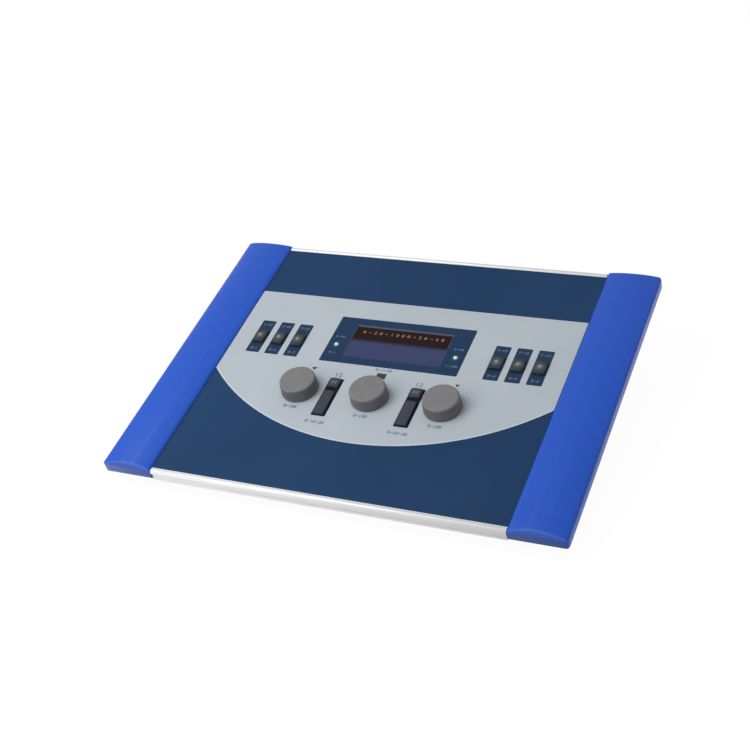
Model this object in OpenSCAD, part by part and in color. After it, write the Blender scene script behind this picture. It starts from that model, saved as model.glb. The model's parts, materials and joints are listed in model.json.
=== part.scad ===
// Desktop audiometer: a flat tilted control deck held between two crowned end caps,
// on a shallow tray. Units are millimetres, +Z up, user at -Y.
// Origin: centre of the bounding box on the table.

/* [Deck] */
// Width of the flat panel between the two end caps
panel_w = 280; // [276:1:290]
// Depth of the flat panel between the two rails
panel_d = 254.6; // [252:0.2:262]
// Thickness of the aluminium panel
plate_t = 2; // [1.5:0.1:2]
// Thickness of the grey printed foil
foil_t = 0.4; // [0.2:0.1:0.5]
// Tilt of the deck towards the user, in degrees
tilt = 9; // [8:0.5:10]
// Height of the panel's front edge above the table
front_h = 22; // [21:0.5:25]

/* [Grey field] */
// Distance of the grey field's top edge from the panel's front edge
field_top = 201.6; // [198:0.2:210]
// Lowest point of the grey field's arc
field_low = 50.7; // [45:0.1:56]
// Radius of the grey field's arc
field_r = 198.6; // [190:0.2:210]

/* [End caps] */
// Width of one end cap
cap_w = 42.5; // [42:0.5:48]
// Height of the cap's crown above the panel
crown_h = 3.9; // [3.8:0.1:6]
// Radius of the crown across the cap
crown_r = 70; // [66:1:80]
// Depth of the cap below the panel
cap_deep = 8.6; // [8:0.1:9]
// Wall of the moulded cap
cap_wall = 2.2; // [2:0.1:2.5]
// Radius of the cap's rounded front and rear ends
nose_r = 14; // [13:0.5:16]
// Reach of the cap past the panel's front and rear edges
nose_over = 5.6; // [5.4:0.1:6.5]
// Number of cross ribs inside one cap
cap_ribs = 8; // [4:1:10]

/* [Rails] */
// Height of the rail's face below the panel
rail_h = 9.4; // [9:0.1:10]
// Reach of the rail's bead past the panel's edge
rail_over = 5.2; // [5:0.1:5.3]

/* [Knobs] */
// Radius of a knob at its foot
knob_r = 14.8; // [13:0.1:15]
// Height of a knob's top above the panel
knob_top = 11.2; // [10:0.1:13]
// Distance of the outer knobs from the middle
knob_x = 58.9; // [57:0.1:62]
// Distance of the knobs from the panel's front edge
knob_y = 96.7; // [94:0.1:98]
// Radius of the encoder shaft
shaft_r = 3; // [2.5:0.1:3]

/* [Keys] */
// Width of one key window
window_w = 11.9; // [11.5:0.1:12.5]
// Length of one key window
window_l = 36.6; // [34:0.1:38]
// Distance of the windows' middle from the panel's front edge
window_y = 148.4; // [147:0.1:150]
// Distance of the innermost window from the middle
window_x = 83.9; // [83:0.1:86]
// Spacing of the windows
window_pitch = 17; // [16:0.1:17]
// Width of a key
key_w = 9.5; // [9:0.1:9.6]
// Length of a key
key_l = 13; // [12:0.1:13.4]
// Height of a key above the panel
key_top = 2.6; // [2:0.1:3.2]
// Travel of a key
key_travel = 0.8; // [0.5:0.1:0.9]

/* [Tone bars] */
// Distance of a bar window from the middle
bar_x = 33.8; // [33:0.1:35]
// Width of a bar window
bar_window_w = 11.7; // [11.5:0.1:12]
// Length of a bar window
bar_window_l = 39.8; // [39.5:0.1:41]
// Distance of a bar window's front edge from the panel's front edge
bar_window_y = 72.5; // [71:0.1:74]
// Width of a tone bar
bar_w = 8.6; // [8:0.1:8.8]
// Length of a tone bar
bar_l = 23.8; // [22:0.1:24]
// Height of a tone bar above the panel
bar_top = 2.3; // [2:0.1:3]

/* [Display] */
// Width of the display bezel
bezel_w = 115.2; // [112:0.2:118]
// Length of the display bezel
bezel_l = 51; // [50:0.2:52]
// Distance of the bezel's middle from the panel's front edge
bezel_y = 155.1; // [154:0.1:156]
// Width of the display window
display_w = 82.8; // [80:0.2:84]
// Length of the display window
display_l = 36; // [34:0.2:37]
// Distance of the status lights from the middle
led_x = 50.3; // [49:0.1:52]

/* [Tray and sockets] */
// Width of the tray
pan_w = 263; // [258:1:264]
// Thickness of the tray's sheet steel
sheet = 1.5; // [1.2:0.1:2]
// Height of the rubber feet
foot_h = 4; // [3:0.5:5]
// Radius of the rubber feet
foot_r = 8; // [6:0.5:9]
// Number of phone jacks
jack_count = 6; // [4:1:6]
// Radius of a phone jack's bore
jack_r = 3.2; // [3.18:0.01:3.25]

/* [Hidden] */
$fn = 48;

// Colours
cap_blue = [0.20, 0.36, 0.78];
panel_blue = [0.13, 0.24, 0.38];
field_grey = [0.71, 0.74, 0.78];
window_blue = [0.12, 0.22, 0.38];
key_grey = [0.36, 0.38, 0.36];
bar_grey = [0.26, 0.29, 0.33];
knob_grey = [0.48, 0.47, 0.47];
black = [0.07, 0.07, 0.08];
board_green = [0.10, 0.35, 0.20];
steel = [0.62, 0.63, 0.65];
silver = [0.84, 0.85, 0.86];
brass = [0.75, 0.62, 0.35];

// Gaps: a hair between pieces that touch, a running fit, and a free gap
hair = 0.05;
running = 0.05;
gap = 0.2;
eps = 0.01;

// Levels in the deck's own frame, whose zero is the foil's top
plate_top = -foil_t;
plate_bot = plate_top - plate_t;
board_top = plate_bot - 6.8;
board_t = 1.6;
board_bot = board_top - board_t;

// Crown and nose of the end caps
cap_in = panel_w / 2;
cap_out = cap_in + cap_w;
cap_mid = cap_in + cap_w * 0.48;
crown_z = crown_h - crown_r;
nose_z = -4;
nose_front = nose_r - nose_over;
nose_back = panel_d + nose_over - nose_r;
cap_corner_r = 4.5;
cap_edge_r = 2.6;
cap_shoulder_r = 3;
cap_crease = 0.15;
cap_chamfer = 1.8;
plate_reach = 29;
plate_half = cap_in + plate_reach;
plate_lap = 2.4;
boss_x = cap_in + 21;
boss_ys = [20, panel_d / 2, panel_d - 20];
boss_r = 4;
boss_h = 3.1;
pilot_deep = 4.1;
pilot_r = 1.25;
screw_r = 1.2;
clear_r = 1.7;

// Rail section
bead_r = 2.3;
bead_top = 0.5;
lip_y = -0.6;
lip_t = 0.3;
rail_shelf = 8;
rail_face = rail_over - 0.6;
rail_len = panel_w - 0.4;
port_y = 2.2;
port_z = -6.3;

// Place of the deck in the row's frame, with the bounding box centred on the origin
deck_y0 = nose_z * sin(tilt) - (nose_front + nose_back) / 2 * cos(tilt);

// Tray
pan_front = deck_y0 + 13;
pan_back = deck_y0 + 226;
pan_half = pan_w / 2;
pillar_x = 118;
pillar_ys = [pan_front + 28, pan_back - 28];
pillar_r = 3.5;
foot_x = 112;
foot_ys = [pan_front + 14, pan_back - 14];
screw_head_r = 2.8;
screw_head_h = 1.8;

// Sockets on the rear panel, by their height above the table
socket_z = 24;
jack_pitch = 22;
jack_x0 = -90;
serial_x = 58;
inlet_x = 92;
jack_body = 12;
jack_len = 21;
bushing_r = 4.9;
bushing_out = 6.5;
nut_t = 2.2;
io_top = socket_z - jack_body / 2;
io_back = pan_back - 1;
io_front = pan_back - 34;
io_half = 113;
io_hole_x = 107;

// Controls
encoder_w = 12.4;
encoder_l = 13.4;
encoder_bush_r = 4.5;
encoder_bush_top = 3.6;
knob_foot = 0.6;
switch_h = 3;
switch_w = 6;
switch_top = board_top + switch_h;
stem_in = 0.7;
key_flange_t = 0.8;
key_stem_r = 1.5;
stem_tip = switch_top - stem_in;
switch_floor = switch_h - stem_in - key_travel - 0.1;
bezel_depth = plate_bot - 0.8;
bar_bezel_depth = plate_bot - 1.6;
store_l = 9.2;
store_y = bar_window_y + bar_window_l - 1.1 - store_l / 2;
bar_y = bar_window_y + 1.2 + bar_l / 2;
pivot_y = bar_y + bar_l / 2 - 2.6;
pivot_z = plate_bot - 0.2;
pivot_r = 1;
bezel_rise = 0.15;
window_corner = 1;
key_y = window_y - 0.9;
glass_top = -0.6;
glass_t = 1.4;
led_y = 148.8;
led_r = 1.5;
standoff_spots = [[-121, 71], [0, 71], [121, 71], [-121, 186], [0, 186], [121, 186]];
io_spots = [[-io_hole_x, io_front + 5], [io_hole_x, io_front + 5],
    [-io_hole_x, io_back - 7], [io_hole_x, io_back - 7]];

// Height, in the row's frame, of the deck level z at the row's y
function deck_z(y, z) = (y - deck_y0) * tan(tilt) + z / cos(tilt) + front_h;
function window_cx(i) = i <= 3
    ? -(window_x + (3 - i) * window_pitch)
    : window_x + (i - 4) * window_pitch;
function jack_x(i) = jack_x0 + i * jack_pitch;

// Moves its children from the deck's frame to the row's frame
module on_deck() {
    translate([0, deck_y0, front_h]) rotate([tilt, 0, 0]) children();
}

// Extrudes a section drawn in Y and Z along X, centred
module along_x(length) {
    rotate([90, 0, 90]) translate([0, 0, -length / 2]) linear_extrude(length) children();
}

// Extrudes a section drawn in X and Z along Y, from y0 to y1
module along_y(y0, y1) {
    translate([0, y1, 0]) rotate([90, 0, 0]) linear_extrude(y1 - y0) children();
}

// Flat plate drawn in X and Y between two levels
module slab(z0, z1) {
    translate([0, 0, z0]) linear_extrude(z1 - z0) children();
}

// Centred rectangle with round corners, as true arcs
module round_rect(w, l, r) {
    square([w - 2 * r, l], center = true);
    square([w, l - 2 * r], center = true);
    for (x = [-1, 1], y = [-1, 1])
        translate([x * (w / 2 - r), y * (l / 2 - r)]) circle(r);
}

// Rectangle between two corners
module span(x0, y0, x1, y1) {
    translate([x0, y0]) square([x1 - x0, y1 - y0]);
}

// Height of the centre of an edge's round, at x, of radius r, that meets the crown
function edge_centre(x, r) =
    crown_z + sqrt(pow(crown_r - r + cap_crease, 2) - pow(x - cap_mid, 2));

// What the right-hand cap loses: its two rounded top edges and the chamfer at the outer foot
module cap_edges() {
    edge_x = cap_out - cap_edge_r;
    edge_z = edge_centre(edge_x, cap_edge_r);
    shoulder_x = cap_in + cap_shoulder_r;
    shoulder_z = edge_centre(shoulder_x, cap_shoulder_r);
    difference() {
        span(edge_x, edge_z, cap_out + 1, edge_z + 9);
        translate([edge_x, edge_z]) circle(cap_edge_r);
    }
    difference() {
        span(cap_in - 1, shoulder_z, shoulder_x, shoulder_z + 9);
        translate([shoulder_x, shoulder_z]) circle(cap_shoulder_r);
    }
    polygon([[cap_out - cap_chamfer, -cap_deep], [cap_out + 1, -cap_deep - 1],
        [cap_out + 1, -cap_deep + cap_chamfer + 1], [cap_out, -cap_deep + cap_chamfer]]);
}

// Right-hand cap's section in X and Z, drawn in by t: a crown arc between two walls
module cap_section(t) {
    difference() {
        intersection() {
            translate([cap_mid, crown_z]) circle(crown_r - t, $fn = 180);
            span(cap_in + t, -cap_deep - (t > 0 ? 1 : 0), cap_out - t, crown_h + 1);
        }
        if (t == 0) cap_edges();
    }
}

// Side view of the cap in Y and Z, drawn in by t: a long bar with round noses
module nose_section(t) {
    r = nose_r - t;
    difference() {
        union() {
            span(nose_front, nose_z - r, nose_back, nose_z + r);
            translate([nose_front, nose_z]) circle(r, $fn = 120);
            translate([nose_back, nose_z]) circle(r, $fn = 120);
        }
        if (t == 0)
            for (y = [-nose_over, panel_d + nose_over])
                translate([y, -cap_deep]) rotate(45) square(cap_chamfer * 1.6, center = true);
    }
}

// Solid form of the cap, with round outer corners seen from above
module cap_form() {
    intersection() {
        along_y(-20, panel_d + 20) cap_section(0);
        along_x(3 * cap_out) nose_section(0);
        slab(-20, 20) translate([cap_in - 10, panel_d / 2])
            round_rect(2 * (cap_w + 10), panel_d + 2 * nose_over, cap_corner_r);
    }
}

// The cap's hollow, open below
module cap_hollow() {
    intersection() {
        along_y(-20, panel_d + 20) cap_section(cap_wall);
        along_x(3 * cap_out) nose_section(cap_wall);
    }
}

// Cross rib: the hollow's section above the panel's edge and outside it
module cap_rib_section() {
    difference() {
        cap_section(cap_wall - 0.4);
        span(cap_in, -20, plate_half + 0.6, plate_top + hair);
        span(cap_in, -20, cap_out, -cap_deep + 2);
    }
}

module end_cap() {
    rib_pitch = (panel_d - 30) / (cap_ribs - 1);
    difference() {
        union() {
            difference() {
                cap_form();
                cap_hollow();
            }
            for (i = [0 : cap_ribs - 1])
                translate([0, 15 + i * rib_pitch, 0]) along_y(-0.8, 0.8) cap_rib_section();
            for (y = boss_ys)
                translate([boss_x, y, plate_top + hair]) cylinder(r = boss_r, h = boss_h);
        }
        // Slot that the panel's edge slides into
        translate([cap_in - 1, -plate_lap - gap, plate_bot - hair])
            cube([plate_reach + 1 + gap, panel_d + 2 * (plate_lap + gap), plate_t + 2 * hair]);
        for (y = boss_ys)
            translate([boss_x, y, plate_top - 1]) cylinder(r = pilot_r, h = pilot_deep);
        // Holes for the screws that enter the rails
        for (y = [port_y, panel_d - port_y])
            translate([cap_in - 1, y, port_z]) rotate([0, 90, 0]) cylinder(r = clear_r, h = 6);
    }
}

module left_end_cap() {
    color(cap_blue) on_deck() mirror([1, 0, 0]) end_cap();
}

module right_end_cap() {
    color(cap_blue) on_deck() end_cap();
}

// Extruded rail section in Y and Z at the front edge: a round bead with a thin lip over the
// panel's edge, a face with a groove, and a shelf under the panel
module rail_section() {
    wall = 1.8;
    bead_y = bead_r - rail_over;
    bead_z = bead_top - bead_r;
    difference() {
        union() {
            translate([bead_y, bead_z]) circle(bead_r);
            span(bead_y, bead_z, lip_y, plate_top + hair + lip_t);
            span(-rail_face, -rail_h, wall - rail_face, bead_z);
            span(-rail_face, plate_bot - 2, rail_shelf, plate_bot - hair);
            span(-rail_face, -rail_h, rail_shelf - 2, 1.5 - rail_h);
            translate([port_y, port_z]) circle(2.6);
        }
        span(-plate_lap - hair, plate_bot - hair, 1, plate_top + hair);
        translate([port_y, port_z]) circle(pilot_r);
        // Groove along the face
        translate([-rail_face, -6.6]) rotate(45) square(0.9, center = true);
    }
}

module front_rail() {
    color(silver) on_deck() along_x(rail_len) rail_section();
}

module rear_rail() {
    color(silver) on_deck() translate([0, panel_d, 0]) mirror([0, 1, 0])
        along_x(rail_len) rail_section();
}

// Openings of the controls in a sheet, grown by g
module control_openings(g) {
    for (i = [1 : 6])
        translate([window_cx(i), window_y]) round_rect(window_w + 2 * g, window_l + 2 * g, window_corner);
    for (s = [-1, 1])
        translate([s * bar_x, bar_window_y + bar_window_l / 2])
            round_rect(bar_window_w + 2 * g, bar_window_l + 2 * g, 0.6);
    translate([0, bezel_y]) round_rect(bezel_w + 2 * g, bezel_l + 2 * g, 0.8);
}

module top_plate() {
    color(panel_blue) on_deck() slab(plate_bot, plate_top) difference() {
        span(-plate_half, -plate_lap, plate_half, panel_d + plate_lap);
        for (i = [1 : 6])
            translate([window_cx(i), key_y]) square([key_w + 1.8, key_l + 2.8], center = true);
        for (s = [-1, 1])
            translate([s * bar_x, bar_window_y + bar_window_l / 2])
                square([bar_window_w - 0.4, bar_window_l - 0.4], center = true);
        translate([0, bezel_y]) square([display_w + 6, display_l + 6], center = true);
        for (s = [-1, 1])
            translate([s * led_x, led_y]) circle(led_r + 0.4);
        for (x = [-knob_x, 0, knob_x])
            translate([x, knob_y]) circle(encoder_bush_r + 0.15);
        for (s = [-1, 1], y = boss_ys)
            translate([s * boss_x, y]) circle(clear_r);
    }
}

module control_foil() {
    color(field_grey) on_deck() slab(plate_top, 0) difference() {
        intersection() {
            span(-cap_in + 0.2, 0, cap_in - 0.2, field_top);
            union() {
                translate([0, field_low + field_r]) circle(field_r, $fn = 360);
                span(-cap_in, field_low + field_r, cap_in, field_top + 1);
            }
        }
        control_openings(0.05);
        for (x = [-knob_x, 0, knob_x])
            translate([x, knob_y]) circle(7.3);
    }
}

// Pan-head screw pointing up, its head's top at the origin
module screw(length) {
    translate([0, 0, -screw_head_h]) cylinder(r = screw_head_r, h = screw_head_h);
    translate([0, 0, -eps]) cylinder(r = screw_r, h = length + eps);
}

module end_cap_screws() {
    color(steel) on_deck() for (s = [0, 1]) mirror([s, 0, 0]) {
        for (y = boss_ys)
            translate([boss_x, y, plate_bot]) screw(4.8);
        for (y = [port_y, panel_d - port_y])
            translate([cap_in + cap_wall, y, port_z]) rotate([0, -90, 0]) screw(9);
    }
}

// Tray's side view in Y and Z, drawn in by t at the front and the floor
module pan_side(t, top) {
    bend = 2;
    polygon([[pan_front + t, foot_h + bend + t / 2], [pan_front + bend + t / 2, foot_h + t],
        [pan_back + (t > 0 ? 1 : 0), foot_h + t], [pan_back + (t > 0 ? 1 : 0), deck_z(pan_back, top)],
        [pan_front + t, deck_z(pan_front, top)]]);
}

module base_pan() {
    slot_l = 22;
    color(steel) difference() {
        union() {
            difference() {
                along_x(pan_w) pan_side(0, plate_bot - gap);
                along_x(pan_w - 2 * sheet) pan_side(sheet, plate_bot + 10);
            }
            // Return flanges that the rear panel is screwed to
            for (s = [-1, 1])
                translate([s * (pan_half - 6), pan_back - sheet / 2, foot_h + 22])
                    cube([12, sheet, 44], center = true);
        }
        for (x = [-1, 1], y = pillar_ys)
            translate([x * pillar_x, y, foot_h - 1]) cylinder(r = clear_r, h = 4);
        // Vent slots in the floor
        for (x = [-72 : 18 : 72], y = [-60, 20])
            translate([x, y, foot_h - 1]) linear_extrude(4) round_rect(4, slot_l, 1.95);
        for (s = [-1, 1], z = [foot_h + 8, foot_h + 38])
            translate([s * (pan_half - 6), pan_back + 1, z]) rotate([90, 0, 0])
                cylinder(r = pilot_r, h = 4);
    }
}

module chassis_pillars() {
    color(silver) for (x = [-1, 1], y = pillar_ys)
        translate([x * pillar_x, y, 0]) difference() {
            intersection() {
                translate([0, 0, foot_h + sheet]) cylinder(r = pillar_r, h = 60);
                along_x(20) polygon([[-9, foot_h], [9, foot_h], [9, deck_z(y + 9, plate_bot)],
                    [-9, deck_z(y - 9, plate_bot)]]);
            }
            translate([0, 0, foot_h]) cylinder(r = pilot_r, h = 10);
        }
}

module base_screws() {
    color(steel) {
        for (x = [-1, 1], y = pillar_ys)
            translate([x * pillar_x, y, foot_h]) screw(8);
        for (s = [-1, 1], z = [foot_h + 8, foot_h + 38])
            translate([s * (pan_half - 6), pan_back + sheet, z]) rotate([90, 0, 0]) screw(4);
    }
}

// D-shaped outline of a nine-way socket in X and Z, grown by g
module d_outline(g) {
    polygon([[-8.4 - g, 3.9 + g], [8.4 + g, 3.9 + g], [7 + g, -3.9 - g], [-7 - g, -3.9 - g]]);
}

module rear_panel() {
    color(black) difference() {
        along_y(pan_back, pan_back + sheet)
            span(-pan_half, foot_h, pan_half, deck_z(pan_back, plate_bot - gap));
        along_y(pan_back - 1, pan_back + 3) {
            for (i = [0 : jack_count - 1])
                translate([jack_x(i), socket_z]) circle(bushing_r + 0.1);
            translate([inlet_x, socket_z]) circle(5.3);
            translate([serial_x, socket_z]) d_outline(0.3);
            for (s = [-1, 1])
                translate([serial_x + s * 12.5, socket_z]) circle(clear_r);
            for (s = [-1, 1], z = [foot_h + 8, foot_h + 38])
                translate([s * (pan_half - 6), z]) circle(clear_r);
        }
    }
}

module rubber_feet() {
    color(black) for (x = [-1, 1], y = foot_ys)
        translate([x * foot_x, y, 0]) rotate_extrude()
            polygon([[0, 0], [foot_r - 1, 0], [foot_r, 1], [foot_r, foot_h], [0, foot_h]]);
}

module display_bezel() {
    body_w = display_w + 5.6;
    body_l = display_l + 5.6;
    color(window_blue) on_deck() translate([0, bezel_y, 0]) difference() {
        union() {
            slab(plate_top, bezel_rise) round_rect(bezel_w, bezel_l, 0.8);
            slab(glass_top - glass_t, 0) square([body_w, body_l], center = true);
        }
        slab(glass_top, 1) square([display_w, display_l], center = true);
        slab(glass_top - 5, glass_top) square([body_w - 2.4, body_l - 2.4], center = true);
        for (s = [-1, 1])
            translate([s * led_x, led_y - bezel_y, -3]) cylinder(r = led_r + 0.1, h = 5);
    }
}

module display_window() {
    color([0.20, 0.12, 0.22]) on_deck() translate([0, bezel_y, 0])
        slab(glass_top - glass_t, glass_top)
            square([display_w + 3, display_l + 3], center = true);
}

module display_module() {
    cell_top = glass_top - glass_t;
    color(black) on_deck() translate([0, bezel_y, 0]) {
        slab(board_top + board_t, cell_top) square([display_w + 1, display_l + 1], center = true);
        slab(board_top, board_top + board_t) square([display_w + 10, display_l + 10], center = true);
    }
}

module status_leds() {
    color([0.75, 0.95, 0.70]) on_deck() for (s = [-1, 1]) translate([s * led_x, led_y, 0]) {
        slab(board_top, board_top + 1) circle(led_r + 0.4);
        slab(board_top + 1, 0) circle(led_r);
        intersection() {
            sphere(led_r);
            translate([-3, -3, 0]) cube(6);
        }
    }
}

module main_board() {
    color(board_green) on_deck() slab(board_bot, board_top) difference() {
        span(-126, 66, 126, 191);
        for (p = standoff_spots)
            translate(p) circle(clear_r);
    }
}

module board_standoffs() {
    color(silver) {
        on_deck() for (p = standoff_spots)
            translate([p[0], p[1], board_top]) difference() {
                cylinder(r = 3, h = plate_bot - board_top);
                translate([0, 0, -1]) cylinder(r = pilot_r, h = 6);
            }
        for (p = io_spots)
            translate([p[0], p[1], foot_h + sheet]) difference() {
                cylinder(r = 3, h = io_top - board_t - foot_h - sheet);
                translate([0, 0, 5]) cylinder(r = pilot_r, h = 8);
            }
    }
}

module board_screws() {
    color(steel) {
        on_deck() for (p = standoff_spots)
            translate([p[0], p[1], board_bot]) screw(5.5);
        for (p = io_spots)
            translate([p[0], p[1], io_top]) mirror([0, 0, 1]) screw(6);
    }
}

// Push switch on the main board, open at the top for a stem of radius r
module switch_body(x, y, r) {
    translate([x, y, board_top]) difference() {
        translate([-switch_w / 2, -switch_w / 2, 0]) cube([switch_w, switch_w, switch_h]);
        translate([0, 0, switch_floor]) cylinder(r = r, h = switch_h);
    }
}

module switch_housings() {
    color(black) on_deck() {
        for (i = [1 : 6])
            switch_body(window_cx(i), key_y, key_stem_r + running);
        for (s = [-1, 1]) {
            switch_body(s * bar_x, store_y, key_stem_r + running);
            switch_body(s * bar_x, bar_y - bar_l / 2 + 6, key_stem_r + 0.5);
        }
    }
}

module key_bezel(i) {
    color(window_blue) on_deck() translate([window_cx(i), 0, 0]) difference() {
        union() {
            translate([0, window_y, 0]) slab(plate_top, bezel_rise)
                round_rect(window_w, window_l, window_corner);
            translate([0, key_y, 0]) slab(bezel_depth, 0)
                square([key_w + 1.6, key_l + 2.6], center = true);
        }
        translate([0, key_y, 0]) slab(-10, 5) round_rect(key_w + 2 * gap, key_l + 2 * gap, 0.6);
    }
}

// Key cap: crowned top, skirt, stop flange and switch stem
module key(i) {
    color(key_grey) on_deck() translate([window_cx(i), key_y, 0]) difference() {
        union() {
            intersection() {
                slab(bezel_depth - 1, key_top) round_rect(key_w, key_l, 0.6);
                translate([0, 0, key_top - 24]) rotate([90, 0, 0])
                    cylinder(r = 24, h = 40, center = true, $fn = 120);
            }
            slab(bezel_depth - gap - key_flange_t, bezel_depth - gap)
                square([key_w + 1.2, key_l + 1.2], center = true);
            slab(stem_tip, bezel_depth - gap) circle(key_stem_r);
        }
        slab(key_top - 2.4, key_top + 1) circle(1.3);
    }
}

module key_lens(i) {
    color([0.85, 0.88, 0.72]) on_deck() translate([window_cx(i), key_y, 0]) {
        slab(key_top - 2.4, key_top) circle(1.3);
        translate([0, 0, key_top]) intersection() {
            sphere(1.3);
            translate([-2, -2, -eps]) cube([4, 4, 0.4]);
        }
    }
}

module bar_bezel(side) {
    body_w = bar_window_w - 0.6;
    color(black) on_deck() translate([side * bar_x, 0, 0]) difference() {
        union() {
            translate([0, bar_window_y + bar_window_l / 2, 0]) slab(plate_top, 0)
                round_rect(bar_window_w, bar_window_l, 0.6);
            translate([0, bar_window_y + bar_window_l / 2, 0]) slab(bar_bezel_depth, 0)
                square([body_w, bar_window_l - 0.6], center = true);
        }
        translate([0, store_y, 0]) slab(-10, 5)
            square([bar_w + 2 * gap, store_l + 2 * gap], center = true);
        translate([0, bar_y, 0]) slab(-10, 5)
            square([bar_w + 2 * gap, bar_l + 2 * gap + 0.5], center = true);
        translate([0, pivot_y, pivot_z]) along_x_hole(pivot_r + running, 30);
    }
}

// Round bar along X, centred
module along_x_hole(r, length) {
    rotate([0, 90, 0]) cylinder(r = r, h = length, center = true);
}

module store_key(side) {
    color(bar_grey) on_deck() translate([side * bar_x, store_y, 0]) {
        intersection() {
            slab(bar_bezel_depth - gap - eps, bar_top) round_rect(bar_w, store_l, 0.5);
            translate([0, 0, bar_top - 30]) rotate([90, 0, 0])
                cylinder(r = 30, h = 40, center = true, $fn = 120);
        }
        slab(bar_bezel_depth - gap - key_flange_t, bar_bezel_depth - gap)
            square([bar_w + 1.2, store_l + 0.8], center = true);
        slab(stem_tip, bar_bezel_depth - gap) circle(key_stem_r);
    }
}

// Tone bar: a rocker with a crowned top, hung on two trunnions at its far end
module tone_bar(side) {
    color(bar_grey) on_deck() translate([side * bar_x, 0, 0]) {
        intersection() {
            translate([0, bar_y, 0]) slab(bar_bezel_depth, bar_top) round_rect(bar_w, bar_l, 0.5);
            translate([0, bar_y, bar_top - 30]) rotate([90, 0, 0])
                cylinder(r = 30, h = 40, center = true, $fn = 120);
        }
        translate([0, pivot_y, pivot_z]) along_x_hole(pivot_r, bar_window_w - 1.2);
        translate([0, bar_y - bar_l / 2 + 6, 0]) slab(switch_top + 0.3, bar_bezel_depth) circle(1);
    }
}

module encoder(x) {
    color(steel) on_deck() translate([x, knob_y, 0]) difference() {
        union() {
            slab(board_top, plate_bot - gap) square([encoder_w, encoder_l], center = true);
            slab(plate_bot - gap - 1, encoder_bush_top) circle(encoder_bush_r);
        }
        slab(board_top + 0.8, encoder_bush_top + 1) circle(shaft_r + running);
    }
}

module encoder_nuts() {
    color(steel) on_deck() for (x = [-knob_x, 0, knob_x])
        translate([x, knob_y, 0]) slab(plate_top, plate_top + 2) difference() {
            circle(6.9, $fn = 6);
            circle(encoder_bush_r + 0.02);
        }
}

module shaft(x) {
    color(steel) on_deck() translate([x, knob_y, 0]) slab(board_top + 1, knob_top - 1.8)
        circle(shaft_r);
}

// Knob: a turned shell with a narrow bevelled rim, a socket for the shaft and three webs
module knob(x) {
    wall = 1.8;
    draft = 0.7;
    rim = 0.6;
    roof = knob_top - 1.6;
    inner = knob_r - wall;
    boss = shaft_r + 2;
    boss_low = encoder_bush_top + 0.6;
    color(knob_grey) on_deck() translate([x, knob_y, 0]) difference() {
        union() {
            rotate_extrude($fn = 96) difference() {
                polygon([[0, knob_foot], [knob_r - 0.3, knob_foot], [knob_r, knob_foot + 0.3],
                    [knob_r - draft, knob_top - rim], [knob_r - draft - rim, knob_top],
                    [0, knob_top]]);
                polygon([[-1, -1], [inner, -1], [inner - 0.3, roof - 1], [inner - 1.3, roof],
                    [-1, roof]]);
            }
            slab(boss_low, roof + 0.5) circle(boss);
            for (a = [90, 210, 330])
                rotate(a) translate([boss - 1, -0.6, boss_low + 1])
                    cube([inner - boss + 1, 1.2, roof - boss_low - 0.5]);
        }
        slab(0, knob_top - 1.8) circle(shaft_r);
    }
}

module phone_jacks() {
    color(black) for (i = [0 : jack_count - 1]) translate([jack_x(i), 0, socket_z]) difference() {
        union() {
            translate([-jack_body / 2, pan_back - jack_len, -jack_body / 2])
                cube([jack_body, jack_len - gap, jack_body]);
            along_y(pan_back - 1, pan_back + bushing_out) circle(bushing_r);
        }
        along_y(pan_back - jack_len + 2, pan_back + bushing_out + 1) circle(jack_r);
    }
}

module jack_nuts() {
    color(steel) for (i = [0 : jack_count - 1]) translate([jack_x(i), 0, socket_z])
        along_y(pan_back + sheet, pan_back + sheet + nut_t) difference() {
            circle(8, $fn = 6);
            circle(bushing_r + 0.02);
        }
}

module dc_inlet() {
    color(black) translate([inlet_x, 0, socket_z]) {
        difference() {
            union() {
                translate([-5, pan_back - 13, -6]) cube([10, 13 - gap, 11]);
                along_y(pan_back - 1, pan_back + 2) circle(5.2);
                along_y(pan_back + sheet, pan_back + 3) circle(6.4);
            }
            along_y(pan_back - 8, pan_back + 4) circle(2.95);
        }
        along_y(pan_back - 9, pan_back + 1.5) circle(1);
    }
}

module serial_socket() {
    row_gap = 2.84;
    pin_pitch = 2.77;
    color(silver) translate([serial_x, 0, socket_z]) difference() {
        union() {
            translate([-9.5, pan_back - 12, -6]) cube([19, 12 - gap, 11]);
            along_y(pan_back - 2, pan_back + 6) d_outline(0);
            along_y(pan_back + sheet, pan_back + sheet + 1) round_rect(30.8, 12.5, 1.5);
            for (s = [-1, 1])
                along_y(pan_back - 3, pan_back + 7) translate([s * 12.5, 0]) circle(1.5);
            for (s = [-1, 1])
                along_y(pan_back + sheet, pan_back + 7) translate([s * 12.5, 0]) circle(2.7, $fn = 6);
        }
        along_y(pan_back, pan_back + 7) {
            for (k = [-2 : 2])
                translate([k * pin_pitch, row_gap / 2]) circle(0.55, $fn = 16);
            for (k = [-1.5 : 1.5])
                translate([k * pin_pitch, -row_gap / 2]) circle(0.55, $fn = 16);
        }
    }
}

module io_board() {
    color(board_green) slab(io_top - board_t, io_top) difference() {
        span(-io_half, io_front, io_half, io_back);
        for (p = io_spots)
            translate(p) circle(clear_r);
    }
}

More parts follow.
